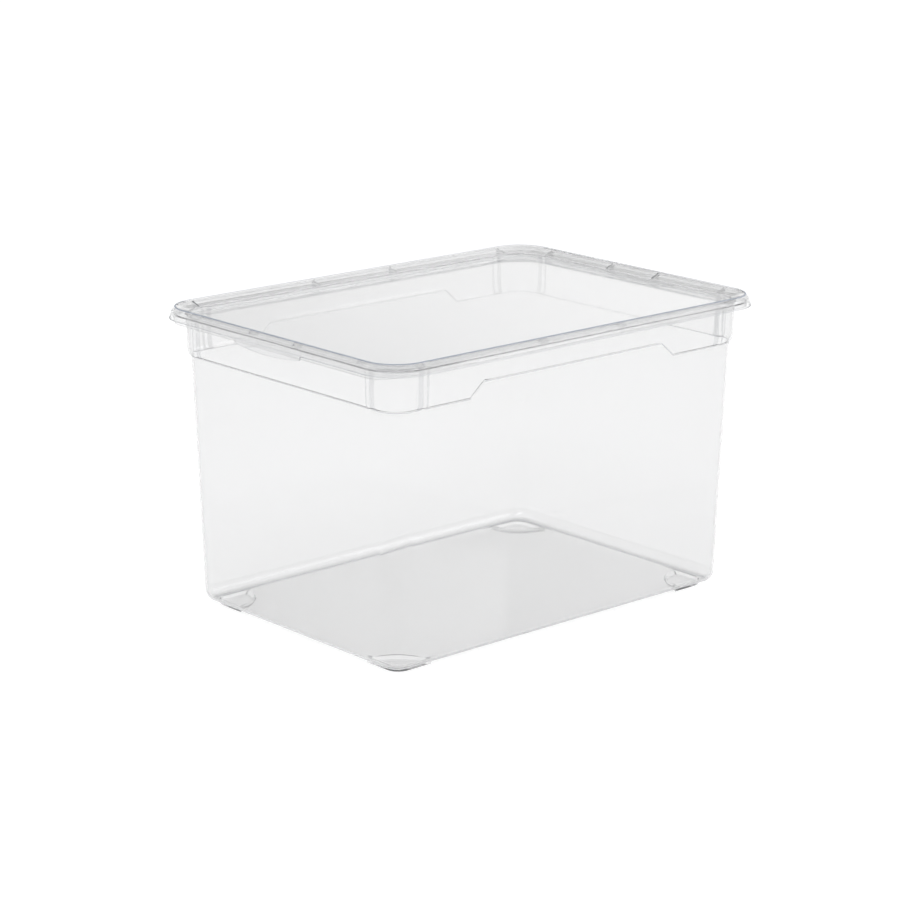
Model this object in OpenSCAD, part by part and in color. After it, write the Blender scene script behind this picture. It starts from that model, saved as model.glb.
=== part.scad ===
// Stackable storage bin: a clear moulded tub with a lift-off lid that plugs into it.
// X runs along the long side, Y along the short side and Z up; the feet stand on Z = 0.

/* [Overall] */
// Length over the lid's skirt
length = 550; // [520:5:600]
// Width over the lid's skirt
width = 400; // [360:5:460]
// Height from the feet to the lid's outer edge
height = 340; // [280:5:380]
// Thickness of every moulded wall
wall = 1.8; // [1.6:0.1:1.9]

/* [Tub] */
// How far the band below the rim stands in from the lid's skirt
band_inset = 18; // [17.5:0.5:18.5]
// How far the body under the shoulder stands in from the lid's skirt
body_inset = 22.5; // [21.5:0.5:24]
// How far the body stands in from the lid's skirt at its foot, which sets the draft
base_inset = 30.5; // [29:0.5:34]
// Corner radius of the band, measured outside
band_corner = 29; // [26:0.5:29]
// Depth of the band from the rim down to the shoulder
band_depth = 47.4; // [40:0.2:60]
// Extra height of the shoulder over the middle of each long side
shoulder_raise = 16; // [10:1:20]
// Half length of the raised part of the shoulder
raise_half = 130; // [100:5:130]
// Radius of the round between the walls and the floor, outside
floor_round = 12.5; // [10:0.5:14]
// Height of the four corner feet
foot_h = 4.5; // [3:0.5:6]
// Radius of each quarter-round foot about its corner
foot_r = 49; // [44:1:54]

/* [Lid] */
// Height of the skirt from the outer edge down to its lower edge
skirt_h = 13.4; // [12.4:0.2:14.4]
// Drop of the sloping flange from its outer edge to its inner edge
flange_drop = 5.6; // [5:0.1:6]
// Drop from the flange's inner edge to the sunken panel
panel_drop = 5.1; // [4:0.1:7]
// Corner radius of the skirt, measured outside at its lower edge
skirt_corner = 44; // [42:0.5:44]
// Half length of the grip tab on each short side
tab_half = 54; // [50:1:60]
// How far the grip tab hangs below the skirt in its middle
tab_drop = 8.5; // [6:0.5:9]

/* [Hidden] */

// Frame of insets and levels
corner_steps = 9;
corner_ease = 0.91;          // share of an inset that the lid's corner radius loses
edge_inset = 6.5;            // the lid's top outer edge, in from the skirt's lower edge
ledge_inset = 3;             // the small ledge halfway down the skirt
plug_inset = 22.6;           // the wall between flange and panel
flange_in_z = height - flange_drop;
panel_z = flange_in_z - panel_drop;
ledge_z = height - 5.1;
skirt_z = height - skirt_h;

// Tub levels
rim_z = height - 7.6;
rim_inset = 5.2;
lip_wall = 1.6;
lip_short_z = skirt_z - 4;   // the rim's lip shows below the skirt on the short sides
lip_long_z = skirt_z + 0.7;  // and hides behind it on the long sides
shoulder_z = rim_z - band_depth;
shoulder_h = 10;
ramp_run = 19;
floor_z = foot_h + wall;

// Pilasters on the band beside each corner
pilaster_x = length / 2 - 59;
pilaster_y = width / 2 - 54;
pilaster_top = 2.2;          // half width of the raised face
pilaster_foot = 7.2;         // half width at the wall
pilaster_out = 2;

// Webs under the lid's flange, which rest on the tub's rim
web_gap = 0.3;
web_z = rim_z + web_gap;
web_half = 0.6;
web_foot = 1.0;
web_x = [length / 2 - 49, 57];
web_y = [width / 2 - 60, 37];

// Grip tab
tab_end_drop = 4.5;          // the same drop at its two ends
tab_inset = 0.8;             // the tab stands in under the skirt's edge
slit = 1;
lug_half = 26;               // the thumb ledge on the skirt above the tab
lug_edge = 1;

function mirrored(list) = concat([for (v = list) -v], [for (i = [len(list) - 1 : -1 : 0]) list[i]]);
function reversed(list) = [for (i = [len(list) - 1 : -1 : 0]) list[i]];
function near(u, middle, half, foot) =
    let (away = abs(abs(u) - middle)) away <= half ? 1 : away >= foot ? 0 : (foot - away) / (foot - half);

// Places along the straight sides where the tub or the lid changes shape
pilaster_xs = [pilaster_x + pilaster_foot, pilaster_x + pilaster_top,
    pilaster_x - pilaster_top, pilaster_x - pilaster_foot];
pilaster_ys = [pilaster_y + pilaster_foot, pilaster_y + pilaster_top,
    pilaster_y - pilaster_top, pilaster_y - pilaster_foot];
foot_x = length / 2 - base_inset - floor_round - foot_r;
foot_y = width / 2 - base_inset - floor_round - foot_r;
foot_steps = [foot_r / 3, foot_r / 6, 0.5, -0.5];
foot_corner = 15;
tub_xs = mirrored(concat(pilaster_xs, [for (v = foot_steps) foot_x + v], [raise_half + ramp_run, raise_half]));
tub_ys = mirrored(concat(pilaster_ys, [for (v = foot_steps) foot_y + v]));
function web_edges(c) = [c + web_foot, c + web_half, c - web_half, c - web_foot];
lid_xs = mirrored(concat(web_edges(web_x[0]), web_edges(web_x[1])));
lid_ys = mirrored(concat(web_edges(web_y[0]), [tab_half + slit, tab_half, tab_half - 8],
    web_edges(web_y[1]), [lug_half + lug_edge, lug_half, 18, 9]));

// One closed ring around a rounded rectangle, anticlockwise from above.
// zf and out take the side (0 long, 1 short, between them round a corner) and the place along it.
// Places past hold are squeezed together where the corner needs the room.
corner = 1000;
function squeeze(u, hold, last, limit) = abs(u) <= hold || last <= limit ? u
    : sign(u) * (hold + (abs(u) - hold) * (limit - hold) / (last - hold));
function ring(hl, hw, r, xs, ys, hold, zf, out) =
    let (px = [for (x = xs) squeeze(x, hold[0], max(xs), hl - r - 0.5)])
    let (py = [for (y = ys) squeeze(y, hold[1], max(ys), hw - r - 0.5)])
    let (nx = len(xs) - 1, ny = len(ys) - 1)
    let (turns = [for (k = [0 : corner_steps]) [k / corner_steps, 90 * k / corner_steps]]) [
        for (i = [0 : nx]) [px[i], -hw - out(0, xs[i]), zf(0, xs[i])],
        for (t = turns) [hl - r + r * sin(t[1]), -hw + r - r * cos(t[1]), zf(t[0], corner)],
        for (i = [0 : ny]) [hl + out(1, ys[i]), py[i], zf(1, ys[i])],
        for (t = turns) [hl - r + r * cos(t[1]), hw - r + r * sin(t[1]), zf(1 - t[0], corner)],
        for (i = [nx : -1 : 0]) [px[i], hw + out(0, xs[i]), zf(0, xs[i])],
        for (t = turns) [-hl + r - r * sin(t[1]), hw - r + r * cos(t[1]), zf(t[0], corner)],
        for (i = [ny : -1 : 0]) [-hl - out(1, ys[i]), py[i], zf(1, ys[i])],
        for (t = turns) [-hl + r - r * cos(t[1]), -hw + r - r * sin(t[1]), zf(1 - t[0], corner)]
    ];

// Solid skin through rings that run from the underside, over the edge, to the upper face.
// Each flat end is closed by triangles about its middle.
module loft(rings) {
    n = len(rings[0]);
    last = len(rings) - 1;
    under = n * len(rings);
    upper = under + 1;
    polyhedron(
        points = [for (ring_points = rings) for (p = ring_points) p,
            [0, 0, rings[0][0][2]], [0, 0, rings[last][0][2]]],
        faces = [
            for (j = [0 : n - 1]) [j, (j + 1) % n, under],
            for (i = [0 : last - 1]) for (j = [0 : n - 1])
                let (a = i * n + j, b = i * n + (j + 1) % n, c = b + n, d = a + n) each [[a, d, c], [a, c, b]],
            for (j = [0 : n - 1]) [last * n + (j + 1) % n, last * n + j, upper]
        ]);
}

flat = function (s, u) 0;
function level(z) = function (s, u) z;

// Tub: rings given by their inset from the skirt outline and their level
function tub_ring(inset, r, zf, out = flat) =
    ring(length / 2 - inset, width / 2 - inset, r, tub_xs, tub_ys, [foot_x + foot_steps[0], foot_y + foot_steps[0]], zf, out);
function tub_corner(inset) = band_corner + band_inset - inset;
pilasters = function (s, u) pilaster_out * (s == 0 ? near(u, pilaster_x, pilaster_top, pilaster_foot)
    : s == 1 ? near(u, pilaster_y, pilaster_top, pilaster_foot) : 0);
function shoulder(s, u) = shoulder_z
    + (s == 0 ? shoulder_raise * max(0, min(1, (raise_half + ramp_run - abs(u)) / ramp_run)) : 0);
function above_shoulder(dz) = function (s, u) shoulder(s, u) + dz;
lip_bottom = function (s, u) lip_long_z + (lip_short_z - lip_long_z) * (1 - cos(180 * s)) / 2;
function bottom_round(r, z, skin) = [for (k = [0 : 4]) let (a = 22.5 * k)
    tub_ring(base_inset + skin + r * (1 - sin(a)), tub_corner(base_inset + skin + r * (1 - sin(a))) + 5,
        level(z + r * (1 - cos(a))))];
function shoulder_round(skin, out) = [for (a = [90, 60, 30, 0])
    let (inset = band_inset + 0.2 + (body_inset - band_inset - 0.2) * (1 - cos(a)))
    tub_ring(inset + skin, tub_corner(inset + skin), above_shoulder(shoulder_h * (1 - sin(a)) + 0.4 * skin),
        a == 90 ? flat : out)];

// Floor ring whose stretches inside the four feet stand at their own level.
// On an arc they run along the foot's quarter-round inner edge instead of the outline.
function foot_ring(inset, open_z, foot_z, arc_r = 0) = let (hl = length / 2 - inset, hw = width / 2 - inset)
    [for (p = tub_ring(inset, foot_corner, level(open_z)))
        let (ax = abs(p[0]), ay = abs(p[1]))
        let (turn = 45 * (ax - foot_x) / (hl - foot_x) + 45 * (1 - (ay - foot_y) / (hw - foot_y)))
        ax < foot_x || ay < foot_y ? p
            : arc_r == 0 ? [p[0], p[1], foot_z]
            : [sign(p[0]) * (hl - arc_r * cos(turn)), sign(p[1]) * (hw - arc_r * sin(turn)), foot_z]];
// The floor dips into each foot, so that the wall keeps its thickness inside and out.
// Each step gives the inset past the flat's edge, the level, and the arc's radius less than foot_r.
flat_edge = base_inset + floor_round;
feet_outside = [for (step = [[2.6, foot_h, 5.2], [2.2, 0.9, 5.6], [1.8, 0, 6.2], [1.2, 0, 0], [0.6, 0.9, 0]])
    foot_ring(flat_edge + step[0], foot_h, step[1], step[2] == 0 ? 0 : foot_r - step[2])];
feet_inside = [for (step = [[2.4, 0.9, 0], [3.2, 0, 0], [4.2, 0, 12.4], [4.6, 0.9, 11.6], [5.2, foot_h, 11.2]])
    foot_ring(flat_edge + step[0], floor_z, wall + step[1], step[2] == 0 ? 0 : foot_r - step[2])];

module tub() {
    color([0.86, 0.88, 0.90, 0.45])
        loft(concat(
            feet_outside,
            bottom_round(floor_round, foot_h, 0),
            shoulder_round(0, pilasters),
            [
                tub_ring(band_inset - 0.4, band_corner + 0.4, level(rim_z - wall - 1), pilasters),
                tub_ring(band_inset - 1.4, band_corner + 1.4, level(rim_z - wall)),
                tub_ring(rim_inset + lip_wall + 0.6, skirt_corner - 7, level(rim_z - wall)),
                tub_ring(rim_inset + lip_wall, skirt_corner - 6.2, level(rim_z - wall - 0.8)),
                tub_ring(rim_inset + lip_wall - 0.6, skirt_corner - 5.6, lip_bottom),
                tub_ring(rim_inset - 0.6, skirt_corner - 4, lip_bottom),
                tub_ring(rim_inset, skirt_corner - 4.7, level(rim_z - 1)),
                tub_ring(rim_inset + 1, skirt_corner - 5.7, level(rim_z)),
                tub_ring(band_inset + 0.4, band_corner - 0.4, level(rim_z)),
                tub_ring(band_inset + wall - 0.4, band_corner - wall + 0.4, level(rim_z - 1))
            ],
            reversed(shoulder_round(wall, flat)),
            reversed(bottom_round(floor_round - wall, floor_z, wall)),
            feet_inside));
}

// Lid: the same rings on its own outline
function lid_ring(inset, zf, out = flat) = let (r = skirt_corner - corner_ease * inset)
    ring(length / 2 - inset, width / 2 - inset, r, lid_xs, lid_ys, [0, 0], zf, out);
function in_web(s, u) = (s == 0 ? max(near(u, web_x[0], web_half, web_foot), near(u, web_x[1], web_half, web_foot))
    : s == 1 ? max(near(u, web_y[0], web_half, web_foot), near(u, web_y[1], web_half, web_foot)) : 0);
function webbed(z) = function (s, u) z + (web_z - z) * in_web(s, u);
tab_edge = function (s, u) skirt_z - (s == 1 && abs(u) <= tab_half
    ? tab_end_drop + (tab_drop - tab_end_drop) * (1 - pow(u / tab_half, 2)) : 0);
function lug(inset) = function (s, u) s == 1 && abs(u) <= lug_half ? inset : 0;

module lid() {
    color([0.84, 0.86, 0.89, 0.45])
        loft([
            lid_ring(plug_inset - wall + 1, level(panel_z - wall)),
            lid_ring(plug_inset - wall + 0.3, level(panel_z - wall + 0.4)),
            lid_ring(plug_inset - wall, webbed(flange_in_z - wall + 0.6)),
            lid_ring(edge_inset + wall + 0.2, webbed(height - wall - 0.1)),
            lid_ring(ledge_inset + wall + 0.2, level(ledge_z - 0.6)),
            lid_ring(wall + 0.4, tab_edge),
            lid_ring(tab_inset, tab_edge),
            lid_ring(tab_inset - 0.1, level(skirt_z + 0.1)),
            lid_ring(0, level(skirt_z + 0.5)),
            lid_ring(1, level(skirt_z + 2), lug(1)),
            lid_ring(1.8, level(skirt_z + 4.2), lug(1.8)),
            lid_ring(2, level(skirt_z + 4.8)),
            lid_ring(ledge_inset, level(ledge_z)),
            lid_ring(ledge_inset + 0.9, level(ledge_z + 0.5)),
            lid_ring(edge_inset - 0.1, level(height - 0.9)),
            lid_ring(edge_inset + 0.3, level(height - 0.2)),
            lid_ring(edge_inset + 0.9, level(height)),
            lid_ring(plug_inset - 0.5, level(flange_in_z)),
            lid_ring(plug_inset, level(flange_in_z - 0.5)),
            lid_ring(plug_inset + 0.4, level(panel_z + 0.6)),
            lid_ring(plug_inset + 1, level(panel_z))
        ]);
}

tub();
lid();
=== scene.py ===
"""Clear stackable storage bin: a tub and a lift-off lid, each one thin moulded shell of clear plastic.

The script works in millimetres and scales each mesh to metres when it is made.
"""
import math

import bpy
import numpy as np
from mathutils import Matrix, Vector


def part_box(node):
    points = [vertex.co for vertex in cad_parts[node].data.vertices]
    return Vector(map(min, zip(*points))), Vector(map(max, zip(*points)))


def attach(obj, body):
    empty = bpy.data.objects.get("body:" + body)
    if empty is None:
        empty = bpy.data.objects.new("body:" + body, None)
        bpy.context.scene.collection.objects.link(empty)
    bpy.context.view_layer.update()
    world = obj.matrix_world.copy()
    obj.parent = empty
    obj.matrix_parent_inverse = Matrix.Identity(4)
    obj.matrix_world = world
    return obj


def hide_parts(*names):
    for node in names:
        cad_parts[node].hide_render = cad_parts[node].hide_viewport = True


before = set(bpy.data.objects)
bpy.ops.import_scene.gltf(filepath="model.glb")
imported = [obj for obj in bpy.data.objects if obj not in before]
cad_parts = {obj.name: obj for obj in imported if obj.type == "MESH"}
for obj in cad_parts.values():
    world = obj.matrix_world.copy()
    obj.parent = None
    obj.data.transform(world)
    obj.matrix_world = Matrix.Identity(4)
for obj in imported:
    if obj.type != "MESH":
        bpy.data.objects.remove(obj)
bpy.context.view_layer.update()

MM = 0.001
tub_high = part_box("tub")[1]
lid_low, lid_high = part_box("lid")

# Overall sizes from the frame
HALF_L = (lid_high[0] - lid_low[0]) / 2 / MM
HALF_W = (lid_high[1] - lid_low[1]) / 2 / MM
HEIGHT = lid_high[2] / MM
RIM_Z = tub_high[2] / MM
WALL = 1.8

# Tub, as insets from the lid's skirt
BAND_INSET = 18.0
BODY_INSET = 22.5
BASE_INSET = 30.5
BAND_CORNER = 29.0
BAND_DEPTH = 47.4
SHOULDER_RAISE = 16.0
RAISE_HALF = 130.0
RAMP_RUN = 19.0
SHOULDER_H = 10.0
FLOOR_ROUND = 12.5
FOOT_H = 4.5
FOOT_R = 49.0
FOOT_CORNER = 15.0
RIM_INSET = 5.2
LIP_WALL = 1.6
LIP_FLARE = 0.6
PILASTER_X = HALF_L - 59
PILASTER_Y = HALF_W - 54
PILASTER_TOP = 2.2
PILASTER_FOOT = 7.2
PILASTER_OUT = 2.0

# Lid
SKIRT_CORNER = 44.0
CORNER_EASE = 0.91
EDGE_INSET = 6.5
LEDGE_INSET = 3.0
PLUG_INSET = 22.6
SLOPE_IN = 0.2  # the skirt's inner skin stands this much further in than its wall
FLANGE_IN_Z = HEIGHT - 5.6
PANEL_Z = FLANGE_IN_Z - 5.1
LEDGE_Z = HEIGHT - 5.1
SKIRT_Z = HEIGHT - 13.4
WEB_Z = RIM_Z + 0.3
WEB_X = (HALF_L - 49, 57.0)
WEB_Y = (HALF_W - 60, 37.0)
WEB_HALF = 0.6
TAB_HALF = 54.0
TAB_DROP = 8.5
TAB_END_DROP = 4.5
TAB_INSET = 0.8
LUG_HALF = 26.0

SHOULDER_Z = RIM_Z - BAND_DEPTH
FLOOR_Z = FOOT_H + WALL
LIP_SHORT_Z = SKIRT_Z - 4.0
LIP_LONG_Z = SKIRT_Z + 0.7
CORNER_STEPS = 20
FILLET_STEPS = 4
FILLET_SHARE = 0.45  # the most of a face that one fillet takes

# How much painted shade the plastic gets along its moulded edges: darker bluish-grey standing in for the dark
# lines of refraction and internal reflection; below 0 it is painted clearer and lighter
FLANK_TONE = 0.22
BASE_TONE = 0.45
CREASE_TONE = 0.35
EDGE_TONE = 0.85
LEDGE_TONE = 0.16
HEM_TONE = 0.35
TAB_TONE = 0.12
SKIRT_TONE = 0.06
RIM_TONE = -0.12
UNDER_TONE = 0.45
FOOT_TONE = 0.15
CORNER_TONE = 0.10
WEB_TONE = 0.15
PLUG_TONE = 0.10
CORNER = 1000.0


# ---------------------------------------------------------------- rings and skins

def near(u, middle, half, foot):
    """1 within half of the middle on either side of the origin, falling to 0 at foot."""
    away = abs(abs(u) - middle)
    return 1.0 if away <= half else 0.0 if away >= foot else (foot - away) / (foot - half)


def mirrored(values):
    values = sorted(values)
    return [-v for v in reversed(values)] + values


def squeeze(u, hold, last, limit):
    """Presses places past hold together where a corner needs the room."""
    if abs(u) <= hold or last <= limit:
        return u
    return math.copysign(hold + (abs(u) - hold) * (limit - hold) / (last - hold), u)


def ring(hl, hw, r, xs, ys, hold, zf, out):
    """Closed ring around a rounded rectangle, anticlockwise from above.

    zf and out take the side (0 long, 1 short, between them round a corner) and the place along it.
    """
    px = [squeeze(x, hold[0], max(xs), hl - r - 0.5) for x in xs]
    py = [squeeze(y, hold[1], max(ys), hw - r - 0.5) for y in ys]
    turns = [(k / CORNER_STEPS, math.radians(90 * k / CORNER_STEPS)) for k in range(CORNER_STEPS + 1)]
    quarter = [(hl - r + r * math.sin(a), hw - r + r * math.cos(a), zf(s, CORNER)) for s, a in turns]
    back = [(p, hw + out(0, x), zf(0, x)) for p, x in zip(px, xs)]
    side = [(hl + out(1, y), p, zf(1, y)) for p, y in zip(py, ys)]
    points = [(x, -y, z) for x, y, z in back]
    points += [(x, -y, z) for x, y, z in quarter]
    points += side
    points += list(reversed(quarter))
    points += list(reversed(back))
    points += [(-x, y, z) for x, y, z in quarter]
    points += [(-x, y, z) for x, y, z in reversed(side)]
    points += [(-x, -y, z) for x, y, z in reversed(quarter)]
    return np.array(points)


def rounded(stations):
    """Turns stations into rings, and gives the tone of the surface that leads to each ring.

    A station is a ring, the fillet of its corner in mm, the tone of the surface before it and of the fillet.
    The tones may be left out, and are then 0.
    """
    stations = [tuple(s) + (0, 0, 0)[len(s) - 1:] for s in stations]
    rings, tones = [stations[0][0]], [0]
    for (before, *_), (middle, size, tone, line), (after, *_) in zip(stations, stations[1:], stations[2:]):
        if size <= 0:
            rings.append(middle)
            tones.append(tone)
            continue
        ends = []
        for other in (before, after):
            span = other - middle
            length = np.linalg.norm(span, axis=1, keepdims=True)
            ends.append(middle + span * np.minimum(size / np.maximum(length, 1e-6), FILLET_SHARE))
        for k in range(FILLET_STEPS + 1):
            t = k / FILLET_STEPS
            rings.append(ends[0] * (1 - t) ** 2 + middle * 2 * t * (1 - t) + ends[1] * t ** 2)
            tones.append(line if k else tone)
    rings.append(stations[-1][0])
    tones.append(stations[-1][2])
    return rings, tones


def skin(name, rings, tones):
    """Closed mesh through the rings, with its two flat ends filled about their middles."""
    n = len(rings[0])
    points = np.vstack(rings + [np.array([[0, 0, rings[0][0][2]], [0, 0, rings[-1][0][2]]])]) * MM
    under, upper = n * len(rings), n * len(rings) + 1
    last = (len(rings) - 1) * n
    faces = [(under, (j + 1) % n, j) for j in range(n)]
    for i in range(0, last, n):
        faces += [(i + j, i + (j + 1) % n, i + n + (j + 1) % n, i + n + j) for j in range(n)]
    faces += [(upper, last + j, last + (j + 1) % n) for j in range(n)]
    mesh = bpy.data.meshes.new(name)
    mesh.from_pydata([tuple(p) for p in points], [], faces)
    mesh.polygons.foreach_set("use_smooth", [True] * len(mesh.polygons))
    # Per-face painted shade along the moulded edges: darker bluish-grey standing in for the dark lines of
    # refraction and internal reflection
    painted_edge_shade = mesh.attributes.new("painted_edge_shade", "FLOAT", "FACE")
    painted_edge_shade.data.foreach_set("value", np.concatenate(
        [np.zeros(n)] + [np.zeros(n) + tone for tone in tones[1:]] + [np.zeros(n)]))
    mesh.update()
    piece = bpy.data.objects.new(name, mesh)
    bpy.context.scene.collection.objects.link(piece)
    keep_flats = piece.modifiers.new("keep_flats", "WEIGHTED_NORMAL")
    keep_flats.mode = "FACE_AREA"
    keep_flats.weight = 80
    return piece


def flat(s, u):
    return 0.0


def level(z):
    return lambda s, u: z


# ---------------------------------------------------------------- tub

FOOT_X = HALF_L - BASE_INSET - FLOOR_ROUND - FOOT_R
FOOT_Y = HALF_W - BASE_INSET - FLOOR_ROUND - FOOT_R
FOOT_STEPS = (-0.5, 0.5, 4, 8, 12, 16)
FOOT_HOLD = (FOOT_X + FOOT_STEPS[-1], FOOT_Y + FOOT_STEPS[-1])
PILASTER_STEPS = (-PILASTER_FOOT, -PILASTER_TOP, PILASTER_TOP, PILASTER_FOOT)
TUB_XS = mirrored([40, 80, 120, RAISE_HALF, RAISE_HALF + 6, RAISE_HALF + 13, RAISE_HALF + RAMP_RUN, 165]
                  + [FOOT_X + v for v in FOOT_STEPS] + [PILASTER_X + v for v in PILASTER_STEPS])
TUB_YS = mirrored([30, 60, 90] + [FOOT_Y + v for v in FOOT_STEPS] + [PILASTER_Y + v for v in PILASTER_STEPS])
DRAFT = (BASE_INSET - BODY_INSET) / (SHOULDER_Z - FOOT_H - FLOOR_ROUND)


def tub_ring(inset, r, zf, out=flat):
    return ring(HALF_L - inset, HALF_W - inset, r, TUB_XS, TUB_YS, FOOT_HOLD, zf, out)


def tub_corner(inset):
    return BAND_CORNER + BAND_INSET - inset


def raised(s, u):
    """How far the shoulder stands above its corner level."""
    if s != 0:
        return 0.0
    return SHOULDER_RAISE * max(0.0, min(1.0, (RAISE_HALF + RAMP_RUN - abs(u)) / RAMP_RUN))


def follow_draft(s, u):
    """Keeps the crease on the drafted body where the shoulder is raised."""
    return raised(s, u) * DRAFT


def pilasters(s, u):
    if s not in (0, 1):
        return 0.0
    return PILASTER_OUT * near(u, PILASTER_Y if s else PILASTER_X, PILASTER_TOP, PILASTER_FOOT)


def lip_bottom(s, u):
    return LIP_LONG_Z + (LIP_SHORT_Z - LIP_LONG_Z) * (1 - math.cos(math.pi * s)) / 2


def shoulder_ring(angle, skin_in, out):
    """The shoulder's quarter round: 90 at the crease on the body, 0 where the band starts."""
    a = math.radians(angle)
    start = BAND_INSET + 0.2
    inset = start + (BODY_INSET - start) * (1 - math.cos(a)) + skin_in
    lift = SHOULDER_H * (1 - math.sin(a)) + 0.4 * skin_in
    return tub_ring(inset, tub_corner(inset), lambda s, u: SHOULDER_Z + raised(s, u) + lift,
                    follow_draft if angle == 90 else out)


def bottom_ring(angle, r, z, skin_in):
    a = math.radians(angle)
    inset = BASE_INSET + skin_in + r * (1 - math.sin(a))
    return tub_ring(inset, tub_corner(inset) + 5, level(z + r * (1 - math.cos(a))))


def foot_ring(past_flat, open_z, foot_z, arc_less=None):
    """Floor ring whose stretches inside the feet stand at foot_z, on the outline or on the quarter round."""
    inset = BASE_INSET + FLOOR_ROUND + past_flat
    hl, hw = HALF_L - inset, HALF_W - inset
    points = tub_ring(inset, FOOT_CORNER, level(open_z))
    for p in points:
        ax, ay = abs(p[0]), abs(p[1])
        if ax < FOOT_X or ay < FOOT_Y:
            continue
        p[2] = foot_z
        if arc_less is not None:
            turn = math.pi / 4 * ((ax - FOOT_X) / (hl - FOOT_X) + 1 - (ay - FOOT_Y) / (hw - FOOT_Y))
            arc = FOOT_R - arc_less
            p[0] = math.copysign(hl - arc * math.cos(turn), p[0])
            p[1] = math.copysign(hw - arc * math.sin(turn), p[1])
    return points


def flanks():
    """1 on the columns that make a pilaster's sloping sides, 0 elsewhere."""
    plain = tub_ring(BAND_INSET, BAND_CORNER, level(0))
    step = tub_ring(BAND_INSET, BAND_CORNER, level(0), pilasters) - plain
    height = np.linalg.norm(step, axis=1)
    return (np.abs(height - np.roll(height, -1)) > 0.1) * 1.0


def make_tub():
    """The shell runs out over the feet's undersides, up the outside, over the rim and down the inside."""
    corner = SKIRT_CORNER
    sides = flanks() * FLANK_TONE
    stations = [
        (foot_ring(3.0, FOOT_H, FOOT_H, 5.2), 0),
        (foot_ring(2.6, FOOT_H, FOOT_H, 5.2), 0.4),
        (foot_ring(1.8, FOOT_H, 0, 6.2), 0.8, 0, FOOT_TONE),
        (foot_ring(1.2, FOOT_H, 0), 0.9, 0, FOOT_TONE),
        (foot_ring(0.5, FOOT_H, FOOT_H), 0.4),
    ]
    stations += [(bottom_ring(k * 9, FLOOR_ROUND, FOOT_H, 0), 0, BASE_TONE * max(0.1, 1 - abs(k - 1.5) / 4))
                 for k in range(11)]
    stations += [(shoulder_ring(90, 0, flat), 0.9, 0, CREASE_TONE)]
    stations += [(shoulder_ring(k, 0, pilasters), 0, sides) for k in range(78, -1, -13)]
    stations += [
        (tub_ring(BAND_INSET - 0.4, BAND_CORNER + 0.4, level(RIM_Z - WALL), pilasters), 1.2, sides),
        (tub_ring(RIM_INSET + LIP_WALL, corner - 6.2, level(RIM_Z - WALL)), 0.8, RIM_TONE),
        (tub_ring(RIM_INSET + LIP_WALL - LIP_FLARE, corner - 5.6, lip_bottom), 0.5),
        (tub_ring(RIM_INSET - LIP_FLARE, corner - 4, lip_bottom), 0.5),
        (tub_ring(RIM_INSET, corner - 4.7, level(RIM_Z)), 1.2),
        (tub_ring(BAND_INSET + WALL - 0.4, BAND_CORNER - WALL + 0.4, level(RIM_Z)), 0.9, RIM_TONE),
    ]
    stations += [(shoulder_ring(k, WALL, flat), 0) for k in range(0, 91, 15)]
    stations += [(bottom_ring(k * 9, FLOOR_ROUND - WALL, FLOOR_Z, WALL), 0) for k in range(10, -1, -1)]
    stations += [
        (foot_ring(1.9, FLOOR_Z, FLOOR_Z), 0.6),
        (foot_ring(3.2, FLOOR_Z, WALL), 0.9),
        (foot_ring(4.2, FLOOR_Z, WALL, 12.4), 0.9),
        (foot_ring(5.2, FLOOR_Z, FLOOR_Z, 11.2), 0.6),
        (foot_ring(5.8, FLOOR_Z, FLOOR_Z, 11.2), 0),
    ]
    return skin("tub_shell", *rounded(stations))


# ---------------------------------------------------------------- lid

def web_edges(c):
    return [c - WEB_HALF - 0.4, c - WEB_HALF, c + WEB_HALF, c + WEB_HALF + 0.4]


LID_XS = mirrored([20, 100, 140, 180] + web_edges(WEB_X[0]) + web_edges(WEB_X[1]))
LID_YS = mirrored([6, 12, 19, LUG_HALF - 1.5, LUG_HALF, 45, 49]
                  + [TAB_HALF - 2, TAB_HALF, TAB_HALF + 0.8, 80, 110]
                  + web_edges(WEB_Y[0]) + web_edges(WEB_Y[1]))


def lid_ring(inset, zf, out=flat):
    r = SKIRT_CORNER - CORNER_EASE * inset
    return ring(HALF_L - inset, HALF_W - inset, r, LID_XS, LID_YS, (0, 0), zf, out)


def in_web(s, u):
    if s not in (0, 1):
        return 0.0
    return max(near(u, c, WEB_HALF, WEB_HALF + 0.4) for c in (WEB_Y if s else WEB_X))


def webbed(z):
    return lambda s, u: z + (WEB_Z - z) * in_web(s, u)


def tab_edge(s, u):
    """Lower edge of the skirt, which hangs in a shallow arc at the grip tabs."""
    if s != 1 or abs(u) > TAB_HALF:
        return SKIRT_Z
    return SKIRT_Z - TAB_END_DROP - (TAB_DROP - TAB_END_DROP) * (1 - (u / TAB_HALF) ** 2)


def lug(amount):
    return lambda s, u: amount if s == 1 and abs(u) <= LUG_HALF else 0.0


def lid_tones():
    """Painted edge shade of the lid's columns: the skirt's, more painted shade round the corners, and the
    webs'.
    """
    around = []
    for places, webs in ((LID_XS, WEB_X), (LID_YS, WEB_Y)):
        middles = [(a + b) / 2 for a, b in zip(places, places[1:])]
        web = [WEB_TONE * max(near(m, c, WEB_HALF, WEB_HALF + 0.5) for c in webs) for m in middles]
        around.append([(0, w) for w in web + [0]])
        turns = [math.sin(math.pi * (k + 0.5) / CORNER_STEPS) for k in range(CORNER_STEPS)]
        around.append([(turn, 0) for turn in turns] + [(0, 0)])
    columns = np.array(sum(around, []) * 2)
    return SKIRT_TONE + CORNER_TONE * columns[:, 0], columns[:, 1]


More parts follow.
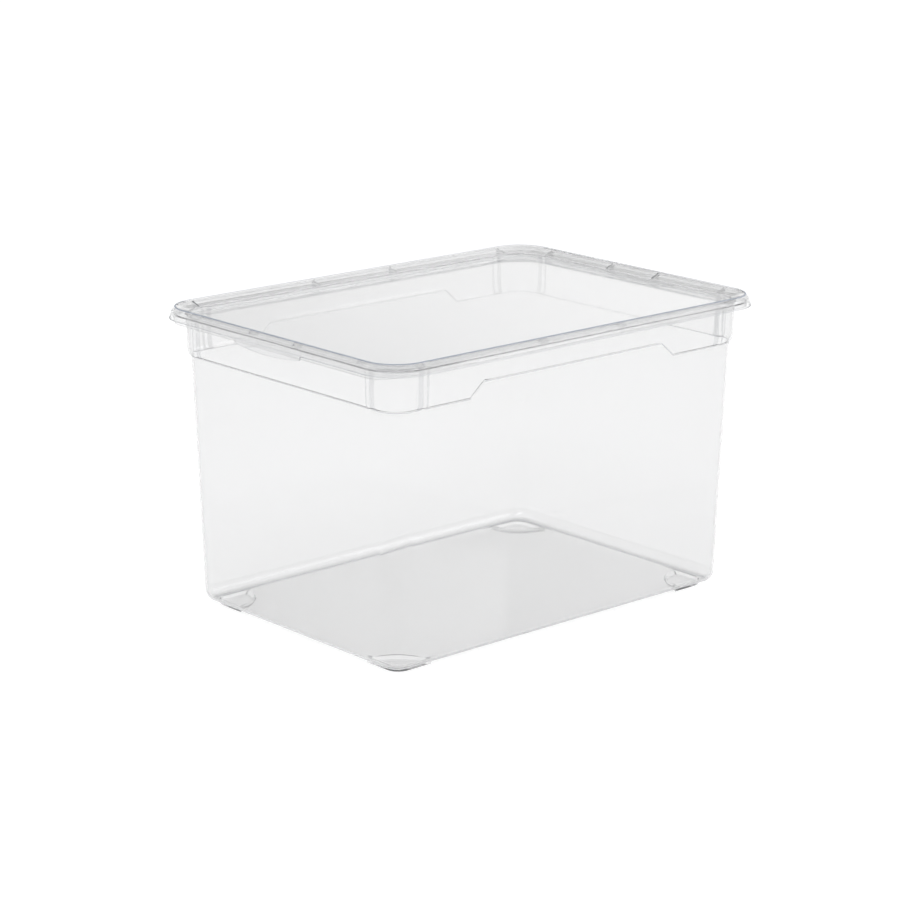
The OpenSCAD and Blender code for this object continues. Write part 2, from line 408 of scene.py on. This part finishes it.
def make_lid():
    """The shell runs out under the panel and flange, down inside the skirt and back up over it."""
    skirt, webs = lid_tones()
    stations = [
        (lid_ring(PLUG_INSET - WALL + 3, level(PANEL_Z - WALL)), 0),
        (lid_ring(PLUG_INSET - WALL + 0.3, level(PANEL_Z - WALL)), 0.8, 0, UNDER_TONE),
        (lid_ring(PLUG_INSET - WALL, webbed(FLANGE_IN_Z - WALL + 0.6)), 0.3, PLUG_TONE),
        (lid_ring(EDGE_INSET + WALL + SLOPE_IN, webbed(HEIGHT - WALL - 0.1)), 0.6, webs, webs),
        (lid_ring(LEDGE_INSET + WALL + SLOPE_IN, level(LEDGE_Z - 0.6)), 0.5, webs),
        (lid_ring(WALL + 0.4, tab_edge), 0.4),
        (lid_ring(TAB_INSET, tab_edge), 0.4, HEM_TONE, HEM_TONE),
        (lid_ring(TAB_INSET - 0.1, level(SKIRT_Z + 0.1)), 0, TAB_TONE),
        (lid_ring(0.0, level(SKIRT_Z + 0.5)), 0.3, HEM_TONE, HEM_TONE),
        (lid_ring(1.0, level(SKIRT_Z + 2.0), lug(1.0)), 0, HEM_TONE / 2),
        (lid_ring(1.8, level(SKIRT_Z + 4.2), lug(1.8)), 0.3, skirt),
        (lid_ring(2.0, level(SKIRT_Z + 4.8)), 0, skirt),
        (lid_ring(LEDGE_INSET, level(LEDGE_Z)), 0.4, skirt, LEDGE_TONE),
        (lid_ring(LEDGE_INSET + 0.9, level(LEDGE_Z + 0.5)), 0.3, LEDGE_TONE),
        (lid_ring(EDGE_INSET, level(HEIGHT)), 1.2, skirt, EDGE_TONE),
        (lid_ring(PLUG_INSET, level(FLANGE_IN_Z)), 0.7, 0, PLUG_TONE),
        (lid_ring(PLUG_INSET + 0.5, level(PANEL_Z)), 0.7, PLUG_TONE / 2, PLUG_TONE / 2),
        (lid_ring(PLUG_INSET + 3, level(PANEL_Z)), 0),
    ]
    return skin("lid_shell", *rounded(stations))


# ---------------------------------------------------------------- material

def clear_plastic(name, haze, grazing, falloff, seed):
    """Clear moulded polypropylene: refracting, faintly hazy, bluish-grey where it is seen along the wall,
    with painted shade along its moulded edges.
    """
    material = bpy.data.materials.new(name)
    material.use_nodes = True
    nodes, links = material.node_tree.nodes, material.node_tree.links
    nodes.clear()
    output = nodes.new("ShaderNodeOutputMaterial")
    clear = nodes.new("ShaderNodeBsdfPrincipled")
    clear.inputs["Base Color"].default_value = (0.99, 0.99, 0.99, 1)
    clear.inputs["Transmission Weight"].default_value = 1.0
    clear.inputs["IOR"].default_value = 1.10
    clear.inputs["Coat Weight"].default_value = 1.0
    clear.inputs["Coat Roughness"].default_value = 0.03
    clear.inputs["Coat IOR"].default_value = 1.49
    haze_and_edge_shade = nodes.new("ShaderNodeBsdfPrincipled")
    edges = nodes.new("ShaderNodeAttribute")
    edges.attribute_name = "painted_edge_shade"
    # Painted shade: this colour runs from the real haze grey to a dark bluish-grey as the per-face edge
    # attribute rises, standing in for the dark lines of refraction and internal reflection
    haze_and_edge_shade_colour = nodes.new("ShaderNodeMix")
    haze_and_edge_shade_colour.data_type = "RGBA"
    haze_and_edge_shade_colour.inputs[6].default_value = (0.49, 0.49, 0.495, 1)
    haze_and_edge_shade_colour.inputs[7].default_value = (0.22, 0.26, 0.33, 1)
    links.new(edges.outputs["Fac"], haze_and_edge_shade_colour.inputs[0])
    links.new(haze_and_edge_shade_colour.outputs[2], haze_and_edge_shade.inputs["Base Color"])
    haze_and_edge_shade.inputs["Roughness"].default_value = 0.35
    mix = nodes.new("ShaderNodeMixShader")
    facing = nodes.new("ShaderNodeLayerWeight")
    facing.inputs["Blend"].default_value = 0.5
    steep = nodes.new("ShaderNodeMath")
    steep.operation = "POWER"
    steep.inputs[1].default_value = falloff
    amount = nodes.new("ShaderNodeMapRange")
    amount.inputs["To Min"].default_value = haze
    amount.inputs["To Max"].default_value = grazing
    where = nodes.new("ShaderNodeTexCoord")
    flow = nodes.new("ShaderNodeTexNoise")
    flow.inputs["Scale"].default_value = 9.0
    flow.inputs["Detail"].default_value = 3.0
    flow.noise_dimensions = "4D"
    flow.inputs["W"].default_value = seed
    gloss = nodes.new("ShaderNodeMapRange")
    gloss.inputs["To Min"].default_value = 0.02
    gloss.inputs["To Max"].default_value = 0.07
    ripple = nodes.new("ShaderNodeBump")
    ripple.inputs["Strength"].default_value = 0.04
    ripple.inputs["Distance"].default_value = 0.002
    absorb = nodes.new("ShaderNodeVolumeAbsorption")
    absorb.inputs["Color"].default_value = (0.72, 0.78, 0.86, 1)
    absorb.inputs["Density"].default_value = 2.5
    links.new(where.outputs["Object"], flow.inputs["Vector"])
    links.new(flow.outputs["Fac"], gloss.inputs["Value"])
    links.new(gloss.outputs["Result"], clear.inputs["Roughness"])
    links.new(flow.outputs["Fac"], ripple.inputs["Height"])
    links.new(ripple.outputs["Normal"], clear.inputs["Normal"])
    links.new(facing.outputs["Facing"], steep.inputs[0])
    links.new(steep.outputs[0], amount.inputs["Value"])
    # Real haze and grazing milkiness from the viewing angle, plus the painted edge shade
    total = nodes.new("ShaderNodeMath")
    total.use_clamp = True
    links.new(amount.outputs["Result"], total.inputs[0])
    links.new(edges.outputs["Fac"], total.inputs[1])
    links.new(total.outputs[0], mix.inputs["Fac"])
    links.new(clear.outputs["BSDF"], mix.inputs[1])
    links.new(haze_and_edge_shade.outputs["BSDF"], mix.inputs[2])
    links.new(mix.outputs["Shader"], output.inputs["Surface"])
    links.new(absorb.outputs["Volume"], output.inputs["Volume"])
    return material


# ---------------------------------------------------------------- stage, light and camera

def make_stage():
    """Plain white floor, bright enough to meet the background without a line."""
    mesh = bpy.data.meshes.new("floor")
    size = 30.0
    corners = [(-size, -size, 0), (size, -size, 0), (size, size, 0), (-size, size, 0)]
    mesh.from_pydata(corners, [], [(0, 1, 2, 3)])
    floor = bpy.data.objects.new("floor", mesh)
    bpy.context.scene.collection.objects.link(floor)
    floor.location.z = -0.0005  # just clear of the feet
    material = bpy.data.materials.new("white_sweep")
    material.use_nodes = True
    nodes, links = material.node_tree.nodes, material.node_tree.links
    nodes.clear()
    output = nodes.new("ShaderNodeOutputMaterial")
    both = nodes.new("ShaderNodeAddShader")
    glow = nodes.new("ShaderNodeEmission")
    glow.inputs["Color"].default_value = (1, 1, 1, 1)
    glow.inputs["Strength"].default_value = 0.86
    paint = nodes.new("ShaderNodeBsdfDiffuse")
    paint.inputs["Color"].default_value = (0.25, 0.25, 0.25, 1)
    links.new(glow.outputs[0], both.inputs[0])
    links.new(paint.outputs[0], both.inputs[1])
    links.new(both.outputs[0], output.inputs["Surface"])
    mesh.materials.append(material)


def make_world():
    """White studio, a little dimmer overhead, with one darker patch for the gloss to pick up."""
    world = bpy.data.worlds.new("studio")
    bpy.context.scene.world = world
    world.use_nodes = True
    nodes, links = world.node_tree.nodes, world.node_tree.links
    nodes.clear()
    output = nodes.new("ShaderNodeOutputWorld")
    shine = nodes.new("ShaderNodeBackground")
    where = nodes.new("ShaderNodeTexCoord")
    split = nodes.new("ShaderNodeSeparateXYZ")
    ramp = nodes.new("ShaderNodeValToRGB")
    ramp.color_ramp.elements[0].position = 0.35
    ramp.color_ramp.elements[0].color = (1.02, 1.02, 1.02, 1)
    ramp.color_ramp.elements[1].position = 0.85
    ramp.color_ramp.elements[1].color = (0.80, 0.81, 0.83, 1)
    links.new(where.outputs["Generated"], split.inputs[0])
    links.new(split.outputs["Z"], ramp.inputs["Fac"])
    toward = nodes.new("ShaderNodeVectorMath")
    toward.operation = "DOT_PRODUCT"
    toward.inputs[1].default_value = (0.39, 0.72, 0.58)
    patch = nodes.new("ShaderNodeMapRange")
    patch.interpolation_type = "SMOOTHSTEP"
    patch.inputs["From Min"].default_value = 0.88
    patch.inputs["From Max"].default_value = 0.98
    patch.inputs["To Min"].default_value = 1.0
    patch.inputs["To Max"].default_value = 0.15
    links.new(where.outputs["Generated"], toward.inputs[0])
    links.new(toward.outputs["Value"], patch.inputs["Value"])
    links.new(patch.outputs["Result"], shine.inputs["Strength"])
    links.new(ramp.outputs["Color"], shine.inputs["Color"])
    links.new(shine.outputs[0], output.inputs["Surface"])


def softbox(name, place, aim, size, power):
    data = bpy.data.lights.new(name, "AREA")
    data.shape = "RECTANGLE"
    data.size, data.size_y = size
    data.energy = power
    lamp = bpy.data.objects.new(name, data)
    lamp.location = place
    lamp.rotation_euler = (Vector(aim) - Vector(place)).to_track_quat("-Z", "Y").to_euler()
    lamp.visible_glossy = False
    bpy.context.scene.collection.objects.link(lamp)


def make_camera():
    """Camera three metres off, looking down a little on the corner between the two grip sides."""
    azimuth, elevation, roll = (math.radians(v) for v in (-41.80, 15.55, 0.22))
    distance = 3.1366
    look_at = Vector((0, 0, 0.1678))
    aside, below = 0.00324, 0.01164  # how far the camera stands left of and below that line
    back = Vector((math.sin(azimuth) * math.cos(elevation), -math.cos(azimuth) * math.cos(elevation),
                   math.sin(elevation)))
    right = Vector((math.cos(azimuth), math.sin(azimuth), 0))
    up = back.cross(right)
    right, up = right * math.cos(roll) + up * math.sin(roll), up * math.cos(roll) - right * math.sin(roll)
    data = bpy.data.cameras.new("camera")
    data.sensor_width = 36.0
    data.lens = 110.11
    camera = bpy.data.objects.new("camera", data)
    turn = Matrix((right, up, back)).transposed().to_4x4()
    place = look_at + back * distance - right * aside - up * below
    camera.matrix_world = Matrix.Translation(place) @ turn
    bpy.context.scene.collection.objects.link(camera)
    bpy.context.scene.camera = camera


make_camera()
make_stage()
make_world()
softbox("key", (-1.6, -1.2, 2.6), (0, 0, 0.2), (1.6, 1.2), 30)
softbox("fill", (2.2, -1.8, 1.8), (0, 0, 0.2), (1.4, 1.4), 16)
bpy.context.scene.view_settings.view_transform = "Standard"
bpy.context.scene.cycles.max_bounces = 32
bpy.context.scene.cycles.transmission_bounces = 32

tub = make_tub()
tub.data.materials.append(clear_plastic("clear_tub", 0.088, 0.85, 11.0, 1.0))
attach(tub, "tub")
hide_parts("tub")

lid = make_lid()
lid.data.materials.append(clear_plastic("clear_lid", 0.04, 0.32, 5.0, 5.0))
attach(lid, "lid")
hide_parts("lid")
